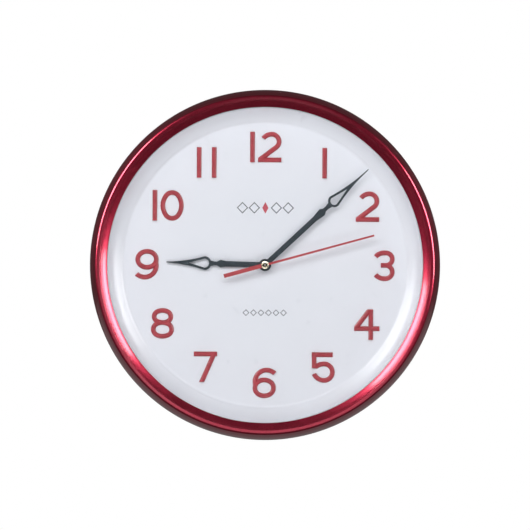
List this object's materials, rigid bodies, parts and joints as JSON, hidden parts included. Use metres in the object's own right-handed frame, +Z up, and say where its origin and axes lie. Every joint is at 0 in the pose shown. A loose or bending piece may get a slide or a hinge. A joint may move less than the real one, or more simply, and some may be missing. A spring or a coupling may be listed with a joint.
{
  "type": "wall clock",
  "caption": "Round wall clock with a red bezel, a white dished dial with raised numerals, spear hands and a battery quartz movement that clips in behind the dial",
  "frame": {"origin": "on the hands' axis, in the plane of the rear rim that rests on the wall", "axes": "+Y points into the wall, so the dial faces -Y; +Z is up, towards twelve o'clock; +X is to the right as the dial is read"},
  "size_m": [0.3, 0.044, 0.3],
  "materials": {
    "red_lacquer": "metallic red lacquer on moulded plastic, glossy",
    "clear_lens": "clear flat glass",
    "white_dial": "glossy cool white moulding",
    "numeral_red": "red moulded plastic, satin",
    "grey_cover": "dark textured moulding",
    "screw_steel": "zinc plated",
    "dark_hand": "dark blue-grey paint on stamped aluminium",
    "red_hand": "red paint on stamped aluminium",
    "brass": "turned and polished",
    "white_acetal": "moulded acetal",
    "black_plastic": "moulded, fine texture",
    "magnet": "sintered magnet",
    "bright_steel": "stamped and plated",
    "copper": "enamelled copper wire",
    "board": "phenolic circuit board",
    "cell": null
  },
  "bodies": {
    "case": {"bezel_ring": "red_lacquer", "case_screws": "screw_steel", "chip_cap": "black_plastic", "circuit_board": "board", "coil_bobbin": "white_acetal", "coil_core": "bright_steel", "coil_winding": "copper", "crystal_can": "bright_steel", "dial_tray": "white_dial", "front_lens": "clear_lens", "movement_front_shell": "black_plastic", "movement_mid_plate": "black_plastic", "movement_rear_shell": "black_plastic", "negative_contact": "bright_steel", "numeral_01": "numeral_red", "numeral_02": "numeral_red", "numeral_03": "numeral_red", "numeral_04": "numeral_red", "numeral_05": "numeral_red", "numeral_06": "numeral_red", "numeral_07": "numeral_red", "numeral_08": "numeral_red", "numeral_09": "numeral_red", "numeral_10": "numeral_red", "numeral_11": "numeral_red", "numeral_12": "numeral_red", "positive_contact": "bright_steel", "rear_cover": "grey_cover", "stator": "bright_steel"},
    "seconds_arbor": {"second_wheel": "white_acetal", "second_hand": "red_hand", "second_hand_collet": "brass"},
    "third_arbor": {"third_wheel": "white_acetal"},
    "centre_arbor": {"centre_wheel": "white_acetal"},
    "step_arbor": {"step_wheel": "white_acetal"},
    "rotor": {"rotor_pinion": "white_acetal", "rotor_magnet": "magnet"},
    "minutes_arbor": {"cannon_pinion": "white_acetal", "minute_hand": "dark_hand"},
    "setting_arbor": {"minute_wheel": "white_acetal", "setting_knob": "black_plastic"},
    "hours_arbor": {"hour_wheel": "white_acetal", "hour_hand": "dark_hand"},
    "cell": {"aa_cell": "cell"}
  },
  "joints": [
    {"name": "minute_spin", "type": "hinge", "parent": "case", "child": "minutes_arbor", "pos_m": [0, -0.01, 0], "axis": [0, 1, 0], "continuous": true},
    {"name": "hour_spin", "type": "hinge", "parent": "case", "child": "hours_arbor", "pos_m": [0, -0.01, 0], "axis": [0, 1, 0], "continuous": true},
    {"name": "setting_spin", "type": "hinge", "parent": "case", "child": "setting_arbor", "pos_m": [-0.0105, -0.01, 0], "axis": [0, 1, 0], "continuous": true},
    {"name": "second_spin", "type": "hinge", "parent": "case", "child": "seconds_arbor", "pos_m": [0, -0.01, 0], "axis": [0, 1, 0], "continuous": true},
    {"name": "third_spin", "type": "hinge", "parent": "case", "child": "third_arbor", "pos_m": [0, -0.01, 0.0102], "axis": [0, 1, 0], "continuous": true},
    {"name": "centre_spin", "type": "hinge", "parent": "case", "child": "centre_arbor", "pos_m": [0, -0.01, 0], "axis": [0, 1, 0], "continuous": true},
    {"name": "step_spin", "type": "hinge", "parent": "case", "child": "step_arbor", "pos_m": [0.00709, -0.01, 0.00125], "axis": [0, 1, 0], "continuous": true},
    {"name": "rotor_spin", "type": "hinge", "parent": "case", "child": "rotor", "pos_m": [0.01398, -0.01, 0.00003], "axis": [0, 1, 0], "continuous": true},
    {"name": "cell_slide", "type": "slide", "parent": "case", "child": "cell", "axis": [0, 1, 0], "range_m": [0, 0.02]}
  ],
  "couplings": [
    {"joint": "hour_spin", "follows": "minute_spin", "ratio": 0.083333},
    {"joint": "setting_spin", "follows": "minute_spin", "ratio": -0.33333},
    {"joint": "third_spin", "follows": "second_spin", "ratio": -0.13333},
    {"joint": "centre_spin", "follows": "second_spin", "ratio": 0.016667},
    {"joint": "step_spin", "follows": "second_spin", "ratio": -5},
    {"joint": "rotor_spin", "follows": "second_spin", "ratio": 30}
  ]
}
